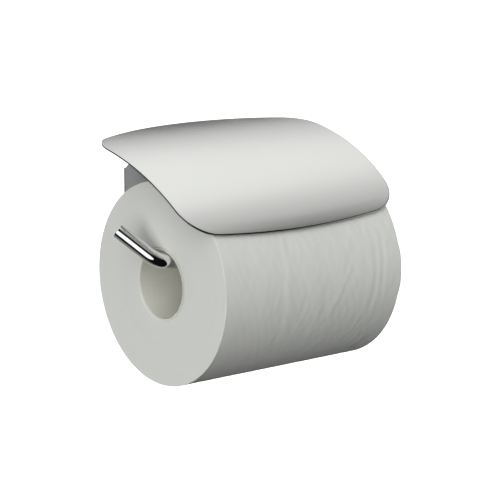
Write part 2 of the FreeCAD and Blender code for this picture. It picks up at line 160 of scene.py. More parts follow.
# ---------------------------------------------------------------- meshes
def add_mesh(name, points, faces, materials, face_materials=None):
    """A smooth mesh object from points in millimetres, with its faces turned outwards."""
    mesh = bpy.data.meshes.new(name)
    points = np.asarray(points, float) * MM
    mesh.from_pydata(points.tolist(), [], faces)
    for material in materials:
        mesh.materials.append(material)
    if face_materials is not None:
        mesh.polygons.foreach_set("material_index", np.asarray(face_materials, np.int32))
    work = bmesh.new()
    work.from_mesh(mesh)
    bmesh.ops.recalc_face_normals(work, faces=work.faces)
    work.to_mesh(mesh)
    work.free()
    mesh.polygons.foreach_set("use_smooth", np.ones(len(mesh.polygons), bool))
    mesh.update()
    obj = bpy.data.objects.new(name, mesh)
    bpy.context.scene.collection.objects.link(obj)
    return obj


def band_faces(rings, count, closed_loop=False):
    """Quads between rings of count points each; with closed_loop the last ring joins the first."""
    faces = []
    last = rings if closed_loop else rings - 1
    for i in range(last):
        a = i * count
        b = ((i + 1) % rings) * count
        for j in range(count):
            k = (j + 1) % count
            faces.append((a + j, a + k, b + k, b + j))
    return faces


def closed_tube(rings, first, last):
    """Points and faces of a tube of rings, closed at both ends by fans round a first and last point."""
    count = len(rings[0])
    faces = band_faces(len(rings), count)
    first_point = len(rings) * count
    last_ring = first_point - count
    for j in range(count):
        k = (j + 1) % count
        faces.append((first_point, k, j))
        faces.append((first_point + 1, last_ring + j, last_ring + k))
    return np.vstack(rings + [first, last]), faces


def quarter_turn(steps):
    """Angles from nothing to a right angle in that many steps."""
    return [math.pi / 2 * k / steps for k in range(steps + 1)]


def smoothstep(t):
    """A soft step from 0 to 1 as t goes from 0 to 1."""
    t = np.clip(t, 0.0, 1.0)
    return t * t * (3 - 2 * t)


def soft_noise(rng, count, waves, closed=False):
    """count values of smooth noise, about -1 to 1, with up to waves bumps along their length."""
    slowest, fastest = 0.7, 1.3
    t = np.linspace(0, FULL_TURN, count, endpoint=not closed)
    total = np.zeros(count)
    for wave in range(1, waves + 1):
        pace = wave if closed else wave * rng.uniform(slowest, fastest)
        total += rng.normal() * np.cos(pace * t + rng.uniform(0, FULL_TURN))
    return total / math.sqrt(waves)


# ---------------------------------------------------------------- materials
class NodeTree:
    """A shader node tree with shortcuts for building it."""

    def __init__(self, tree):
        self.tree = tree
        self.nodes = tree.nodes

    def link(self, source, target):
        self.tree.links.new(source, target)

    def node(self, kind, inputs=None, **properties):
        """A node of that kind; inputs are values or other nodes' sockets, by name or number."""
        made = self.nodes.new(kind)
        for name, value in properties.items():
            setattr(made, name, value)
        for key, value in (inputs or {}).items():
            if isinstance(value, bpy.types.NodeSocket):
                self.link(value, made.inputs[key])
            else:
                made.inputs[key].default_value = value
        return made

    def maths(self, operation, first, second=0.0):
        return self.node("ShaderNodeMath", {0: first, 1: second}, operation=operation).outputs[0]


class Look(NodeTree):
    """A Principled material with shortcuts for its textures."""

    def __init__(self, name, **settings):
        self.material = bpy.data.materials.new(name)
        self.material.use_nodes = True
        super().__init__(self.material.node_tree)
        self.shader = self.nodes["Principled BSDF"]
        self.place = self.node("ShaderNodeTexCoord").outputs["Object"]
        for socket, value in settings.items():
            self.shader.inputs[socket.replace("_", " ")].default_value = value

    def noise(self, pace, detail=3.0, roughness=0.5):
        """Noise from 0 to 1 with pace features per metre, one number or one per axis."""
        scale = pace if isinstance(pace, tuple) else (pace, pace, pace)
        inputs = {"Vector": self.place, "Scale": scale}
        vector = self.node("ShaderNodeMapping", inputs).outputs["Vector"]
        return self.noise_at(vector, detail, roughness)

    def noise_at(self, vector, detail, roughness):
        """Noise from 0 to 1 with one feature per unit of that vector."""
        inputs = {"Vector": vector, "Scale": 1.0, "Detail": detail, "Roughness": roughness}
        return self.node("ShaderNodeTexNoise", inputs).outputs["Fac"]

    def noise_over(self, first, first_pace, second, second_pace, roughness):
        """Noise from 0 to 1 over two values, each with its pace in features per unit."""
        detail = 3.0
        inputs = {
            "X": self.maths("MULTIPLY", first, first_pace),
            "Y": self.maths("MULTIPLY", second, second_pace),
        }
        vector = self.node("ShaderNodeCombineXYZ", inputs).outputs["Vector"]
        return self.noise_at(vector, detail, roughness)

    def spread(self, value, low=0.0, high=1.0, start=0.3, end=0.7):
        """value taken from start..end to low..high."""
        inputs = {"Value": value, "From Min": start, "From Max": end, "To Min": low, "To Max": high}
        return self.node("ShaderNodeMapRange", inputs).outputs["Result"]

    def mixed(self, first, first_share, second):
        """Two noises as one value from 0 to 1, the first with that share."""
        ends = self.spread(first, 0.0, first_share), self.spread(second, 0.0, 1.0 - first_share)
        return self.maths("ADD", *ends)

    def tint(self, value, low, high):
        """Base colour from low to high as value goes from 0 to 1."""
        mix = self.node("ShaderNodeMix", {"Factor": value}, data_type="RGBA")
        mix.inputs["A"].default_value = (*low, 1.0)
        mix.inputs["B"].default_value = (*high, 1.0)
        self.link(mix.outputs["Result"], self.shader.inputs["Base Color"])

    def roughness(self, value):
        self.link(value, self.shader.inputs["Roughness"])

    def bumps(self, layers):
        """Bump layers of (height, depth in millimetres, strength), one on top of another."""
        below = None
        for height, depth, strength in layers:
            inputs = {"Height": height, "Distance": depth * MM, "Strength": strength}
            if below is not None:
                inputs["Normal"] = below
            below = self.node("ShaderNodeBump", inputs).outputs["Normal"]
        self.link(below, self.shader.inputs["Normal"])


def satin_metal(name, dark, light, rough_low, rough_high, grain):
    """Finely brushed metal: streaks along X, cloudy roughness, small colour changes."""
    streak_roughness = 0.015
    streak_depth = 0.003
    look = Look(name, Metallic=1.0)
    streaks = look.noise((70.0, 1100.0, 1100.0), detail=1.0)
    clouds = look.noise(28.0, detail=4.0, roughness=0.55)
    look.tint(look.spread(clouds), dark, light)
    blotches = look.spread(clouds, rough_low, rough_high)
    fine = look.spread(streaks, -streak_roughness, streak_roughness)
    look.roughness(look.maths("ADD", blotches, fine))
    look.bumps([(streaks, streak_depth, grain)])
    return look.material


def mirror_metal(name, colour, rough):
    """Polished chrome with faint ripples and wiping marks, which are duller and a little darker."""
    mark_darkness = 0.97
    mark_dullness = 1.8
    look = Look(name, Metallic=1.0)
    marks = look.noise(300.0, detail=5.0, roughness=0.6)
    look.tint(look.spread(marks), tuple(mark_darkness * part for part in colour), colour)
    look.roughness(look.spread(marks, rough, rough * mark_dullness))
    look.bumps([(look.noise(120.0, detail=1.0), 0.01, 0.05)])
    return look.material


def cast_metal(name, dark, light, rough_low, rough_high, metallic=0.85):
    """Bead-blasted, plated or painted metal: a fine even grain."""
    look = Look(name, Metallic=metallic)
    grain = look.noise(2400.0, detail=2.0)
    clouds = look.noise(60.0, detail=4.0)
    look.tint(look.spread(clouds), dark, light)
    look.roughness(look.spread(clouds, rough_low, rough_high))
    look.bumps([(clouds, 0.02, 0.1), (grain, 0.01, 0.25)])
    return look.material


def moulded_plastic(name, dark, light, rough):
    """Moulded plastic or rubber: a fine grain over shallow uneven places."""
    rough_change = 0.06
    look = Look(name, Specular_IOR_Level=0.4)
    grain = look.noise(1800.0, detail=2.0)
    clouds = look.noise(150.0, detail=3.0)
    look.tint(look.spread(clouds), dark, light)
    look.roughness(look.spread(grain, rough - rough_change, rough + rough_change))
    look.bumps([(grain, 0.01, 0.2), (clouds, 0.02, 0.15)])
    return look.material


def roll_coordinates(look):
    """Distance from the roll's axis in metres, angle round it in radians and place along X in metres."""
    shift = {0: look.place, 1: (0.0, -ROLL_CENTRE[1] * MM, -ROLL_CENTRE[2] * MM)}
    moved = look.node("ShaderNodeVectorMath", shift, operation="ADD").outputs["Vector"]
    flat = look.node("ShaderNodeVectorMath", {0: moved, 1: (0.0, 1.0, 1.0)}, operation="MULTIPLY")
    radius = look.node("ShaderNodeVectorMath", {0: flat.outputs["Vector"]}, operation="LENGTH")
    parts = look.node("ShaderNodeSeparateXYZ", {0: moved})
    angle = look.maths("ARCTAN2", parts.outputs["Z"], parts.outputs["Y"])
    return radius.outputs["Value"], angle, parts.outputs["X"]


def tissue(name, dark, light):
    """The outer sheet: soft crepe ridges across the web, fibres, cloudy thickness."""
    look = Look(name, Roughness=0.92, Specular_IOR_Level=0.12)
    _, angle, along = roll_coordinates(look)
    crepe = look.noise_over(along, 350.0, angle, 130.0, roughness=0.6)
    fibres = look.noise((2600.0, 1300.0, 1300.0), detail=4.0, roughness=0.65)
    clouds = look.noise(70.0, detail=5.0, roughness=0.6)
    look.tint(look.spread(clouds, start=0.25, end=0.75), dark, light)
    look.bumps([(clouds, 0.25, 0.25), (crepe, 0.10, 0.35), (fibres, 0.03, 0.3)])
    return look.material


def cut_edges(name, dark, light, layer):
    """The cut faces of the wound roll: layers as fine broken spiral lines, and wider bands of them."""
    look = Look(name, Roughness=0.95, Specular_IOR_Level=0.08)
    radius, angle, _ = roll_coordinates(look)
    turns = look.maths("DIVIDE", radius, layer * MM)
    spiral = look.maths("ADD", turns, look.maths("DIVIDE", angle, FULL_TURN))
    layers = look.noise_over(spiral, 1.0, angle, 3.0, roughness=0.6)
    bands = look.noise_over(spiral, 0.12, angle, 0.8, roughness=0.5)
    fibres = look.noise(3000.0, detail=3.0, roughness=0.6)
    look.tint(look.mixed(bands, 0.6, layers), dark, light)
    look.bumps([(bands, 0.05, 0.10), (layers, 0.04, 0.20), (fibres, 0.03, 0.25)])
    return look.material


def board(name, dark, light):
    """Grey recycled board with flecks and a fibre surface."""
    look = Look(name, Roughness=0.88, Specular_IOR_Level=0.2)
    fibres = look.noise((500.0, 1800.0, 1800.0), detail=5.0, roughness=0.65)
    flecks = look.noise(420.0, detail=2.0, roughness=0.7)
    look.tint(look.mixed(fibres, 0.6, flecks), dark, light)
    look.bumps([(flecks, 0.08, 0.2), (fibres, 0.05, 0.4)])
    return look.material


# A satin metal's roughness stays wholly below 0.27 or above 0.28, its streaks' 0.015 counted in: where
# it crosses about 0.274 the denoiser changes how it sees the metal, and leaves marks.
LID_SATIN = satin_metal("lid_satin", (0.835, 0.845, 0.815), (0.855, 0.865, 0.835), 0.22, 0.25, 0.2)
LID_EDGE = mirror_metal("lid_edge", (0.80, 0.80, 0.80), 0.05)
# The lid's cut edge is raw darker metal. Its dark base colour is also painted shade, for the dark line of
# shadow under the lid's front edge.
LID_CUT_PAINTED_SHADE = satin_metal("lid_cut_painted_shade", (0.20, 0.20, 0.20), (0.28, 0.28, 0.28), 0.31, 0.37, 0.3)
CHROME = mirror_metal("chrome", (0.90, 0.90, 0.91), 0.03)
LEAF_SATIN = satin_metal("leaf_satin", (0.55, 0.55, 0.55), (0.64, 0.64, 0.63), 0.32, 0.40, 0.4)
PIN_STEEL = satin_metal("pin_steel", (0.60, 0.60, 0.60), (0.68, 0.68, 0.67), 0.30, 0.34, 0.3)
ZINC_STEEL = cast_metal("zinc_steel", (0.50, 0.52, 0.54), (0.62, 0.64, 0.66), 0.32, 0.5)
BRACKET_GREY = cast_metal("bracket_grey", (0.425, 0.435, 0.44), (0.465, 0.475, 0.48), 0.40, 0.50, 0.2)
SCREW_BLACK = cast_metal("screw_black", (0.03, 0.03, 0.033), (0.06, 0.06, 0.065), 0.4, 0.55)
GASKET_RUBBER = moulded_plastic("gasket_rubber", (0.10, 0.10, 0.10), (0.14, 0.14, 0.14), 0.6)
BUMPER_RUBBER = moulded_plastic("bumper_rubber", (0.40, 0.40, 0.39), (0.48, 0.48, 0.47), 0.55)
BUSH_PLASTIC = moulded_plastic("bush_plastic", (0.74, 0.74, 0.71), (0.82, 0.82, 0.79), 0.42)
TISSUE = tissue("tissue", (0.77, 0.788, 0.747), (0.80, 0.818, 0.776))
ROLL_ENDS = cut_edges("roll_ends", (0.79, 0.805, 0.76), (0.81, 0.825, 0.78), layer=0.28)
CORE_BOARD = board("core_board", (0.75, 0.75, 0.675), (0.83, 0.83, 0.75))


# ---------------------------------------------------------------- lid
LID_TABLE_SIZE = 2001
OUTLINE_SAMPLES = 1500
CORNER_POINTS = 60

# The mesh: points round each ring, rings that follow the outline, rings inside them, rings on the edge.
LID_COLUMNS = 480
LID_INSETS = (0.75, 1.5, 3.0, 6.0)
LID_INNER_RINGS = 40
LID_EDGE_STEPS = 6
LID_CUT_SHARES = (0.3, 0.7)
# Faces of the cut edge take the dark cut metal, which is painted shade along the lid's front edge.
SATIN_FACES, POLISHED_FACES, CUT_FACES_PAINTED_SHADE = range(3)

# The lid's side view: places along its curve, and its slope, y and z at each of them.
LID_TABLE = np.linspace(0.0, LID_LENGTH, LID_TABLE_SIZE)
LID_SLOPES = LID_BACK_SLOPE + LID_CURVATURE * LID_TABLE + LID_CURVATURE_GROWTH * LID_TABLE ** 2 / 2


def running_total(values):
    """The sum of values along the lid's curve, up to each place in LID_TABLE."""
    step = LID_TABLE[1]
    return np.concatenate([[0.0], np.cumsum((values[1:] + values[:-1]) / 2 * step)])


LID_Y = LID_BACK_Y - running_total(np.cos(LID_SLOPES))
LID_Z = LID_BACK_Z - running_total(np.sin(LID_SLOPES))


def on_lid(flat, depth):
    """Points of the bent lid from flat ones, (across, along), at that depth below its outer face."""
    x, s = flat.T
    slope = np.interp(s, LID_TABLE, LID_SLOPES)
    y = np.interp(s, LID_TABLE, LID_Y) + np.sin(slope) * depth
    z = np.interp(s, LID_TABLE, LID_Z) - np.cos(slope) * depth
    return np.column_stack([x, y, z])


def left_of(ways):
    """Unit vectors a quarter turn to the left of flat directions."""
    units = ways / np.linalg.norm(ways, axis=1)[:, None]
    return np.column_stack([-units[:, 1], units[:, 0]])


def fillet(side, end, radius):
    """The arc of that radius that rounds the corner between two dense lines, with what is left of them."""
    centres = side + left_of(np.gradient(side, axis=0)) * radius
    gaps = np.array([np.linalg.norm(end - centre, axis=1).min() for centre in centres]) - radius
    first = int(np.argmax(gaps < 0))
    share = gaps[first - 1] / (gaps[first - 1] - gaps[first])
    centre = centres[first - 1] + share * (centres[first] - centres[first - 1])
    touch = int(np.linalg.norm(end - centre, axis=1).argmin())
    start = np.arctan2(*(side[first] - centre)[::-1])
    stop = np.arctan2(*(end[touch] - centre)[::-1])
    turn = (stop - start + math.pi) % FULL_TURN - math.pi
    angles = start + np.linspace(0, 1, CORNER_POINTS) * turn
    arc = centre + radius * np.column_stack([np.cos(angles), np.sin(angles)])
    return side[:first], arc, end[touch + 1:]


def lid_outline():
    """Evenly spaced points round the lid's flat outline, (across, along), anticlockwise."""
    s_line = np.linspace(LID_BACK_BOW, LID_LENGTH - LID_FRONT_BOW, OUTLINE_SAMPLES)
    x_line = LID_HALF_WIDTH - LID_SIDE_BOW * (2 * s_line / LID_LENGTH - 1) ** 2
    side = np.column_stack([x_line, s_line])
    share = np.linspace(1, 0, OUTLINE_SAMPLES)
    front = np.column_stack([share * x_line[-1], LID_LENGTH - LID_FRONT_BOW * share ** 2])
    back = np.column_stack([share * x_line[0], LID_BACK_BOW * share ** 2])
    # The back corner is made as a mirrored front one, and mirrored again.
    mirror = (1, -1)
    half = OUTLINE_SAMPLES // 2
    front_parts = fillet(side[half:], front, LID_CORNER_RADIUS)
    back_parts = fillet(side[:half][::-1] * mirror, back * mirror, LID_CORNER_RADIUS)
    right = np.vstack([(part * mirror)[::-1] for part in reversed(back_parts)] + list(front_parts))
    closed = np.vstack([right, right[::-1] * (-1, 1), right[:1]])
    length = np.concatenate([[0], np.cumsum(np.linalg.norm(np.diff(closed, axis=0), axis=1))])
    places = np.linspace(0, length[-1], LID_COLUMNS, endpoint=False)
    return np.column_stack([np.interp(places, length, closed[:, i]) for i in (0, 1)])


def build_lid():
    """The bent sheet; its edge is rolled over and polished on top, and straight on the side, where the
    dark cut metal is painted shade.
    """
    outline = lid_outline()
    inward = left_of(np.roll(outline, -1, axis=0) - np.roll(outline, 1, axis=0))
    middle = np.array([0.0, LID_LENGTH / 2])
    spokes = outline + inward * LID_INSETS[-1] - middle
    shares = [k / LID_INNER_RINGS for k in range(LID_INNER_RINGS, 0, -1)]
    face = [outline + inward * inset for inset in LID_INSETS[:-1]]
    face += [middle + spokes * share for share in shares]

    # Rings from the middle of the top to the middle of the underside: flat points, depth, faces.
    rings = [(flat, 0.0, SATIN_FACES) for flat in reversed(face)]
    for turn in quarter_turn(LID_EDGE_STEPS):
        inset = LID_ROLLOVER_WIDTH * (1 - math.sin(turn))
        depth = LID_ROLLOVER_DEPTH * (1 - math.cos(turn))
        rings.append((outline + inward * inset, depth, POLISHED_FACES))
    # The straight side and the lower rounding take the dark cut metal: painted shade along the lid's edge.
    for share in LID_CUT_SHARES:
        depth = LID_ROLLOVER_DEPTH + share * (LID_THICKNESS - LID_ROLLOVER_DEPTH)
        rings.append((outline, depth, CUT_FACES_PAINTED_SHADE))
    for turn in quarter_turn(LID_EDGE_STEPS):
        inset = LID_LOWER_ROUNDING * (1 - math.cos(turn))
        depth = LID_THICKNESS - LID_LOWER_ROUNDING * (1 - math.sin(turn))
        rings.append((outline + inward * inset, depth, CUT_FACES_PAINTED_SHADE))
    rings += [(flat, LID_THICKNESS, SATIN_FACES) for flat in face]

    loops = [on_lid(flat, depth) for flat, depth, _ in rings]
    ends = [on_lid(middle[None], depth) for depth in (0.0, LID_THICKNESS)]
    points, faces = closed_tube(loops, *ends)
    kinds = []
    for (_, _, kind), (_, _, next_kind) in zip(rings, rings[1:]):
        touches_satin = SATIN_FACES in (kind, next_kind)
        kinds += [SATIN_FACES if touches_satin else max(kind, next_kind)] * LID_COLUMNS
    kinds += [SATIN_FACES] * 2 * LID_COLUMNS
    return add_mesh("lid_sheet", points, faces, [LID_SATIN, LID_EDGE, LID_CUT_PAINTED_SHADE], kinds)


# ---------------------------------------------------------------- rod
ROD_COLUMNS = 64
ROD_STEP = 4.0
ROD_BEND_STEP = math.radians(2.5)
ROD_ARM_STEPS = 7
ROD_TIP_STEPS = 6
ROD_TIP_SHARES = (0.6, 0.25)


def rod_line():
    """Points and directions along the middle of the rod, from its socket to its free tip."""
    socket = np.array([SOCKET_END_X, SOCKET_Y, SOCKET_Z])
    leg_back = np.array([ROD_LEG_X, SOCKET_Y, SOCKET_Z])
    leg_front = np.array([ROD_LEG_X, ROD_Y, ROD_Z])
    elbow = np.array([ROD_ELBOW_X, ROD_Y, ROD_Z])
    rise = (leg_back - leg_front) / np.linalg.norm(leg_back - leg_front)
    turn = math.radians(ROD_ARM_TURN)
    arm = np.array([-1.0, 0, 0]) * math.cos(turn) + rise * math.sin(turn)
    corners = [socket, leg_back, leg_front, elbow, elbow + arm * ROD_ARM_LENGTH]
    points = [socket]
    ways = [np.array([1.0, 0, 0])]
    for before, corner, after in zip(corners, corners[1:], corners[2:]):
        ahead = (corner - before) / np.linalg.norm(corner - before)
        beyond = (after - corner) / np.linalg.norm(after - corner)
        angle = math.acos(float(ahead @ beyond))
        side = beyond - ahead * float(beyond @ ahead)
        side /= np.linalg.norm(side)
        first = points[-1]
        bend_start = corner - ahead * ROD_BEND_RADIUS * math.tan(angle / 2)
        steps = max(2, int(np.linalg.norm(bend_start - first) / ROD_STEP))
        for share in np.linspace(0, 1, steps + 1)[1:]:
            points.append(first + (bend_start - first) * share)
            ways.append(ahead)
        for part in np.linspace(0, angle, int(angle / ROD_BEND_STEP) + 1)[1:]:
            arc = ahead * math.sin(part) + side * (1 - math.cos(part))
            points.append(bend_start + ROD_BEND_RADIUS * arc)
            ways.append(ahead * math.cos(part) + side * math.sin(part))
    bend_end = points[-1]
    for share in np.linspace(0, 1, ROD_ARM_STEPS + 1)[1:]:
        points.append(bend_end + (corners[-1] - bend_end) * share)
        ways.append(arm)
    return np.array(points), np.array(ways)


def build_rod():
    """A round section carried along the rod's line, with a rounded rim at the free tip."""
    points, ways = rod_line()
    tip, tip_way = points[-1], ways[-1]
    # The rod lies in one plane, which two of its directions give.
    normal = np.cross(ways[0], ways[len(ways) // 2])
    normal /= np.linalg.norm(normal)
    angles = np.linspace(0, FULL_TURN, ROD_COLUMNS, endpoint=False)[:, None]

    def ring(centre, way, radius):
        across = np.cross(way, normal)
        return centre + radius * (np.cos(angles) * normal + np.sin(angles) * across)

    rings = [ring(centre, way, ROD_RADIUS) for centre, way in zip(points[:-1], ways[:-1])]
    for turn in quarter_turn(ROD_TIP_STEPS):
        radius = ROD_RADIUS - ROD_TIP_ROUNDING * (1 - math.cos(turn))
        back = ROD_TIP_ROUNDING * (1 - math.sin(turn))
        rings.append(ring(tip - tip_way * back, tip_way, radius))
    rings += [ring(tip, tip_way, ROD_RADIUS * share) for share in ROD_TIP_SHARES]
    return add_mesh("rod_bent", *closed_tube(rings, points[0], tip), [CHROME])


# ---------------------------------------------------------------- roll
# Soft folds in the outer sheet: place across the roll, its lean per radian, middle and half-length
# as angles from the top towards the front, half-width, depth (a minus is a furrow).
FOLDS = (
    (21.5, -27.0, 95.0, 20.0, 1.5, 0.22),
    (25.0, -22.0, 90.0, 26.0, 2.4, -0.09),
    (29.0, -20.0, 66.0, 14.0, 1.3, 0.08),
    (36.0, -9.0, 119.0, 11.0, 1.3, 0.18),
    (34.5, -9.0, 121.0, 12.0, 1.6, -0.08),
    (41.0, -3.0, 86.0, 36.0, 1.9, 0.14),
    (43.6, -2.0, 92.0, 30.0, 1.5, -0.08),
    (46.6, -2.0, 88.0, 40.0, 1.7, 0.12),
    (49.4, -2.5, 84.0, 34.0, 1.5, -0.09),
    (52.4, -1.5, 90.0, 38.0, 1.5, 0.12),
    (56.2, -2.0, 86.0, 28.0, 1.5, 0.10),
    (-14.5, 1.0, 92.0, 46.0, 1.8, 0.13),
    (-18.0, 2.0, 100.0, 36.0, 2.2, -0.07),
    (-8.0, -3.0, 86.0, 30.0, 1.8, -0.05),
    (4.0, 7.0, 108.0, 26.0, 1.8, 0.07),
    (10.0, 6.0, 100.0, 30.0, 2.4, -0.07),
    (-31.0, 2.0, 90.0, 40.0, 3.0, 0.04),
    (-40.0, -4.0, 118.0, 24.0, 2.0, -0.05),
    (47.0, -12.0, 138.0, 12.0, 1.6, 0.10),
)
MORE_FOLDS = 26
FOLD_SWAY = 0.5
FOLD_SWAY_PACES = (3, 7)
FOLD_FADE = 0.8
CRUMPLES = 60
CRUMPLE_HEIGHT = 0.0042
CRUMPLE_TURNS = 30
CRUMPLE_PACES = (0.3, 1.5)
SHEET_SEED = 5

# The outer sheet lies this far inside the CAD cylinder, pressed flat softly where a fold would pass it.
SKIN_GAP = 0.03
SKIN_BLEND = 0.06

# The sheet comes in by LAYER_STEP over a turn, and at its free edge it steps down to the layer below.
LAYER_STEP = 0.08
TAIL_ANGLE = 30.0
TAIL_STEP = 0.22
TAIL_FADE = 24.0

# The sawn ends dip a little and have ripples: fine and wide ones along the radius, slow ones round it.
FACE_SEED = 11
FACE_DIP = 0.10
FACE_RIPPLE = 0.03
FACE_SAMPLES = 400
FINE_WAVES = 40
FINE_SHARE = 0.5
WIDE_WAVES = 8
ROUND_WAVES = 4

# Rings on an end. Outside FACE_FOLLOWS_FROM they take on the shape of the sheet's edge.
FACE_RINGS = 30
RIM_RINGS = 5
RIM_RINGS_WIDTH = 1.0
RIM_RINGS_GAP = 0.5
FACE_FOLLOWS_FROM = 40.0
FACE_FOLLOWS_OVER = 10.0

# The rounded edge between sheet and end, and how far in the sheet goes along with the end's ripples.
EDGE_ROUNDING = 0.12
EDGE_STEPS = 5
EDGE_BLEND = 4.0

# The right end's rim stands out at the front: height, then its middle, half-length and fade as angles,
# and its width and fade along the radius.
RIGHT_BULGE = 0.75
RIGHT_BULGE_ANGLE = 89.0
RIGHT_BULGE_REACH = 17.0
RIGHT_BULGE_FADE = 9.0
RIGHT_BULGE_WIDTH = 2.0
RIGHT_BULGE_WIDTH_FADE = 1.2

ROLL_COLUMNS = 480
SIDE_COLUMNS = 128
TISSUE_FACES, END_FACES = range(2)


def round_roll(x, radius, angle):
    """Points at x and radius, at those angles round the roll's axis from the top towards the front."""
    across = np.broadcast_to(x, angle.shape)
    y = ROLL_CENTRE[1] - radius * np.sin(angle)
    z = ROLL_CENTRE[2] + radius * np.cos(angle)
    return np.column_stack([across, y, z])


def random_fold(rng):
    """A fold for the less seen side of the roll, with the six values of a row of FOLDS."""
    place = rng.uniform(-54, 60)
    lean = rng.normal(0, 5.0)
    middle = rng.uniform(150, 405)
    reach = rng.uniform(14, 50)
    width = rng.uniform(1.4, 3.6)
    depth = rng.normal(0, 0.09)
    return place, lean, middle, reach, width, depth


def sheet_height(angle, x):
    """Height of the outer sheet over a plain cylinder, at angles from the top towards the front."""
    rng = np.random.RandomState(SHEET_SEED)
    height = np.zeros(angle.shape)
    folds = list(FOLDS) + [random_fold(rng) for _ in range(MORE_FOLDS)]
    for place, lean, middle, reach, width, depth in folds:
        away = (np.degrees(angle) - middle + 180) % 360 - 180
        pace, phase = rng.uniform(*FOLD_SWAY_PACES), rng.uniform(0, FULL_TURN)
        sway = FOLD_SWAY * np.sin(np.radians(away) * pace + phase)
        across = (x - place - lean * np.radians(away) - sway) / width
        along = smoothstep((reach - np.abs(away)) / (FOLD_FADE * reach))
        height += depth * np.exp(-across ** 2) * along
    for _ in range(CRUMPLES):
        turns = rng.randint(-CRUMPLE_TURNS, CRUMPLE_TURNS + 1)
        pace = rng.uniform(*CRUMPLE_PACES)
        phase = rng.uniform(0, FULL_TURN)
        height += CRUMPLE_HEIGHT * np.cos(turns * angle + pace * x + phase) / pace
    return height


def side_radii(angle, span):
    """Radius of the outer sheet at each place along span, a row for each, and each angle."""
    since_tail = (TAIL_ANGLE - np.degrees(angle)) % 360
    before_tail = 360 - since_tail
    layer_drop = LAYER_STEP * since_tail / 360 + TAIL_STEP * (1 - smoothstep(before_tail / TAIL_FADE))
    across, around = np.meshgrid(ROLL_CENTRE[0] + span, angle, indexing="ij")
    gap = SKIN_GAP + layer_drop - sheet_height(around, across)
    return ROLL_RADIUS - (gap + np.sqrt(gap ** 2 + SKIN_BLEND ** 2)) / 2


def build_roll():
    """The wound paper: side sheet with soft folds, sawn ends with faint rings, a free outer edge."""
    rng = np.random.RandomState(FACE_SEED)
    angle = np.linspace(0, FULL_TURN, ROLL_COLUMNS, endpoint=False)
    half = ROLL_LENGTH / 2
    span = np.linspace(-half + EDGE_ROUNDING, half - EDGE_ROUNDING, SIDE_COLUMNS)
    radii = side_radii(angle, span)
    ripples = {}
    for side in (-1, 1):
        fine = soft_noise(rng, FACE_SAMPLES, FINE_WAVES) * FINE_SHARE
        wide = soft_noise(rng, FACE_SAMPLES, WIDE_WAVES)
        ripples[side] = (fine + wide, soft_noise(rng, ROLL_COLUMNS, ROUND_WAVES, closed=True))
    rings = []
    kinds = []

    def add(x, radius, kind):
        rings.append(round_roll(x, radius, angle))
        kinds.append(kind)

    def face_x(side, radius):
        """Where a sawn end lies at that radius; its ripples only ever go inwards from the end plane."""
        share = (radius - CORE_RADIUS) / (ROLL_RADIUS - CORE_RADIUS)
        along, around = ripples[side]
        dip = FACE_DIP + FACE_RIPPLE * (along[int(share * (FACE_SAMPLES - 1))] + share * around)
        dip = np.clip(dip, 0.0, None)
        if side > 0:
            away = np.abs(np.degrees(angle) - RIGHT_BULGE_ANGLE)
            bulge = smoothstep((RIGHT_BULGE_REACH - away) / RIGHT_BULGE_FADE)
            bulge *= smoothstep((radius - ROLL_RADIUS + RIGHT_BULGE_WIDTH) / RIGHT_BULGE_WIDTH_FADE)
            dip = dip - RIGHT_BULGE * bulge
        return ROLL_CENTRE[0] + side * (half - dip)

    def add_face(side, face_radii, rim):
        for radius in face_radii:
            follow = smoothstep((radius - FACE_FOLLOWS_FROM) / FACE_FOLLOWS_OVER)
            add(face_x(side, radius), radius + follow * (rim - ROLL_RADIUS), END_FACES)

    def add_edge(side, rim, turns):
        for turn in turns:
            x = face_x(side, ROLL_RADIUS) - side * EDGE_ROUNDING * (1 - math.cos(turn))
            add(x, rim - EDGE_ROUNDING * (1 - math.sin(turn)), TISSUE_FACES)

    outermost = ROLL_RADIUS - EDGE_ROUNDING
    rim_start = outermost - RIM_RINGS_WIDTH
    face_radii = np.concatenate([
        np.linspace(CORE_RADIUS, rim_start - RIM_RINGS_GAP, FACE_RINGS),
        np.linspace(rim_start, outermost, RIM_RINGS),
    ])
    turns = quarter_turn(EDGE_STEPS)[1:-1]
    add_face(-1, face_radii, radii[0])
    add_edge(-1, radii[0], turns)
    for place, radius in zip(span, radii):
        side = math.copysign(1, place)
        blend = smoothstep((abs(place) - half + EDGE_BLEND) / EDGE_BLEND)
        shift = face_x(side, ROLL_RADIUS) - (ROLL_CENTRE[0] + side * half)
        add(ROLL_CENTRE[0] + place + blend * shift, radius, TISSUE_FACES)
    add_edge(1, radii[-1], turns[::-1])
    add_face(1, face_radii[::-1], radii[-1])
    faces = band_faces(len(rings), ROLL_COLUMNS, closed_loop=True)
    face_kinds = []
    for kind, next_kind in zip(kinds, kinds[1:] + kinds[:1]):
        face_kinds += [max(kind, next_kind)] * ROLL_COLUMNS
    return add_mesh("roll_tissue", np.vstack(rings), faces, [TISSUE, ROLL_ENDS], face_kinds)


# ---------------------------------------------------------------- core
CORE_COLUMNS = 300
CORE_RINGS = 150
CORE_ROUNDING = 0.1
CORE_LINING = 0.12
CORE_SAG = 0.0012
CORE_SAG_WAVES = 5
CORE_SEED = 3
CORE_END_SHARES = (0.35, 0.65)
SEAM_PITCH = 72.0
SEAM_GROOVE = 0.28
SEAM_GROOVE_WIDTH = 0.45
SEAM_LIP = 0.10
SEAM_LIP_PLACE = 1.2
SEAM_LIP_WIDTH = 2.4


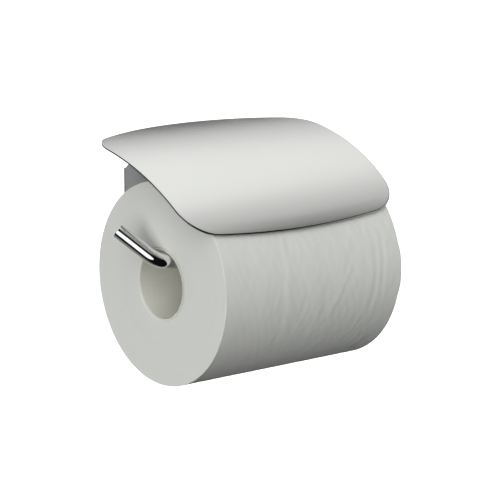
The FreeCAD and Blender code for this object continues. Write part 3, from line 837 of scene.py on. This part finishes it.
def build_core():
    """The board tube, with the spiral seam of its inner ply along the bore."""
    angle = np.linspace(0, FULL_TURN, CORE_COLUMNS, endpoint=False)
    half = ROLL_LENGTH / 2 - CORE_INSET
    rng = np.random.RandomState(CORE_SEED)
    sag = CORE_SAG * soft_noise(rng, CORE_COLUMNS, CORE_SAG_WAVES, closed=True)
    rings = []

    def add(x, radius):
        rings.append(round_roll(ROLL_CENTRE[0] + x, radius, angle))

    def bore(x):
        """Inner radius: a shallow groove, with one lip a little proud, runs along the seam."""
        turns = (angle / FULL_TURN + x / SEAM_PITCH) % 1.0 - 0.5
        away = turns * FULL_TURN * CORE_BORE_RADIUS
        groove = SEAM_GROOVE * np.exp(-(away / SEAM_GROOVE_WIDTH) ** 2)
        lip = SEAM_LIP * smoothstep(1 - np.abs(away - SEAM_LIP_PLACE) / SEAM_LIP_WIDTH)
        return CORE_BORE_RADIUS + CORE_LINING + groove - lip + sag

    def add_end(x, shares):
        for share in shares:
            width = CORE_ROUNDING + share * (CORE_WALL - 2 * CORE_ROUNDING)
            add(x, bore(x) + width)

    for x in np.linspace(-half, half, CORE_RINGS):
        add(x, bore(x) + max(0.0, CORE_ROUNDING - (half - abs(x))))
    add_end(half, CORE_END_SHARES)
    add(half, CORE_RADIUS - CORE_ROUNDING)
    add(half - CORE_ROUNDING, CORE_RADIUS)
    add(CORE_ROUNDING - half, CORE_RADIUS)
    add(-half, CORE_RADIUS - CORE_ROUNDING)
    add_end(-half, CORE_END_SHARES[::-1])
    faces = band_faces(len(rings), CORE_COLUMNS, closed_loop=True)
    return add_mesh("core_tube", np.vstack(rings), faces, [CORE_BOARD])


# ---------------------------------------------------------------- pieces that replace CAD solids
lid_sheet = build_lid()
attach(lid_sheet, "lid")
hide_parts("lid_plate")

rod_bent = build_rod()
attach(rod_bent, "bracket")
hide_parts("roll_rod")

roll_tissue = build_roll()
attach(roll_tissue, "roll")
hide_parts("paper_roll")

core_tube = build_core()
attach(core_tube, "roll")
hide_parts("cardboard_core")

# ---------------------------------------------------------------- CAD nodes that keep their shape
NODE_LOOKS = {
    "wall_gasket": (GASKET_RUBBER, "gasket"),
    "wall_plate": (ZINC_STEEL, "zinc_steel"),
    "bracket_housing": (BRACKET_GREY, "bracket_metal"),
    "housing_grub_screws": (SCREW_BLACK, "black_screw"),
    "rod_grub_screw": (SCREW_BLACK, "black_screw"),
    "rod_collar": (CHROME, "rod_chrome"),
    "lid_stop_bumpers": (BUMPER_RUBBER, "bumper"),
    "hinge_bush_left": (BUSH_PLASTIC, "bush_plastic"),
    "hinge_bush_right": (BUSH_PLASTIC, "bush_plastic"),
    "hinge_cap_left": (BRACKET_GREY, "bracket_metal"),
    "hinge_cap_right": (BRACKET_GREY, "bracket_metal"),
    "hinge_washers": (BUSH_PLASTIC, "bush_plastic"),
    "hinge_pin": (PIN_STEEL, "pin_steel"),
    "lid_hinge_barrel": (LEAF_SATIN, "leaf_metal"),
    "lid_studs": (PIN_STEEL, "pin_steel"),
    "lid_nuts": (PIN_STEEL, "pin_steel"),
}
for node, (look, slot_name) in NODE_LOOKS.items():
    part = frame["nodes"][node]
    part.data.materials.clear()
    part.data.materials.append(look)


# ---------------------------------------------------------------- world, floor, camera
def direction(azimuth, elevation):
    """The unit vector that way: azimuth from +Y towards +X, elevation above the horizon, in degrees."""
    a = math.radians(azimuth)
    e = math.radians(elevation)
    return (math.sin(a) * math.cos(e), math.cos(a) * math.cos(e), math.sin(e))


def build_world():
    """Studio light by direction: one sum for matt surfaces, one for reflections, plain white behind."""
    world = bpy.data.worlds.new("studio")
    bpy.context.scene.world = world
    world.use_nodes = True
    studio = NodeTree(world.node_tree)
    studio.nodes.clear()
    place = studio.node("ShaderNodeTexCoord").outputs["Generated"]
    matt = AMBIENT_MATT
    reflected = AMBIENT_REFLECTED
    for azimuth, elevation, inner, outer, for_matt, for_reflection in LIGHT_AREAS:
        towards = {0: place, 1: direction(azimuth, elevation)}
        dot = studio.node("ShaderNodeVectorMath", towards, operation="DOT_PRODUCT")
        away = studio.maths("ARCCOSINE", dot.outputs["Value"])
        fade = studio.node("ShaderNodeMapRange", {
            "Value": away, "From Min": math.radians(inner), "From Max": math.radians(outer),
            "To Min": 1.0, "To Max": 0.0,
        }, interpolation_type="SMOOTHSTEP").outputs["Result"]
        matt = studio.maths("ADD", studio.maths("MULTIPLY", fade, for_matt), matt)
        reflected = studio.maths("ADD", studio.maths("MULTIPLY", fade, for_reflection), reflected)
    rays = studio.node("ShaderNodeLightPath")
    glossy = rays.outputs["Is Glossy Ray"]
    seen = rays.outputs["Is Camera Ray"]
    glossy_part = studio.maths("MULTIPLY", reflected, glossy)
    matt_part = studio.maths("MULTIPLY", matt, studio.maths("SUBTRACT", 1.0, glossy))
    light = studio.maths("ADD", glossy_part, matt_part)
    light = studio.maths("MULTIPLY", light, studio.maths("SUBTRACT", 1.0, seen))
    light = studio.maths("ADD", light, studio.maths("MULTIPLY", seen, BACKGROUND_WHITE))
    shine = {"Color": (1.0, 1.0, 1.0, 1.0), "Strength": light}
    background = studio.node("ShaderNodeBackground", shine).outputs["Background"]
    studio.node("ShaderNodeOutputWorld", {"Surface": background})


def build_floor():
    """A white floor well below the object, which gives it no light, reflection or shadow."""
    look = Look("floor_white", Roughness=0.9, Specular_IOR_Level=0.0)
    look.tint(look.spread(look.noise(3.0, detail=2.0)), (0.93, 0.93, 0.93), (0.95, 0.95, 0.95))
    look.shader.inputs["Emission Color"].default_value = (1.0, 1.0, 1.0, 1.0)
    look.shader.inputs["Emission Strength"].default_value = FLOOR_GLOW
    half = FLOOR_HALF_SIZE / MM
    z = (cad_low.z - FLOOR_DROP) / MM
    corners = [(-half, -half, z), (half, -half, z), (half, half, z), (-half, half, z)]
    floor = add_mesh("floor", corners, [(0, 1, 2, 3)], [look.material])
    floor.visible_diffuse = False
    floor.visible_glossy = False
    floor.visible_shadow = False


def build_camera():
    """The camera of the photograph: its place, where it looks and its lens."""
    camera = bpy.data.objects.new("camera", bpy.data.cameras.new("camera"))
    bpy.context.scene.collection.objects.link(camera)
    camera.data.lens = CAMERA_LENS
    camera.data.sensor_width = CAMERA_SENSOR
    camera.location = CAMERA_PLACE
    camera.rotation_mode = "QUATERNION"
    camera.rotation_quaternion = Vector(CAMERA_WAY).to_track_quat("-Z", "Y")
    bpy.context.scene.camera = camera


build_world()
build_floor()
build_camera()
bpy.context.scene.view_settings.view_transform = "Standard"
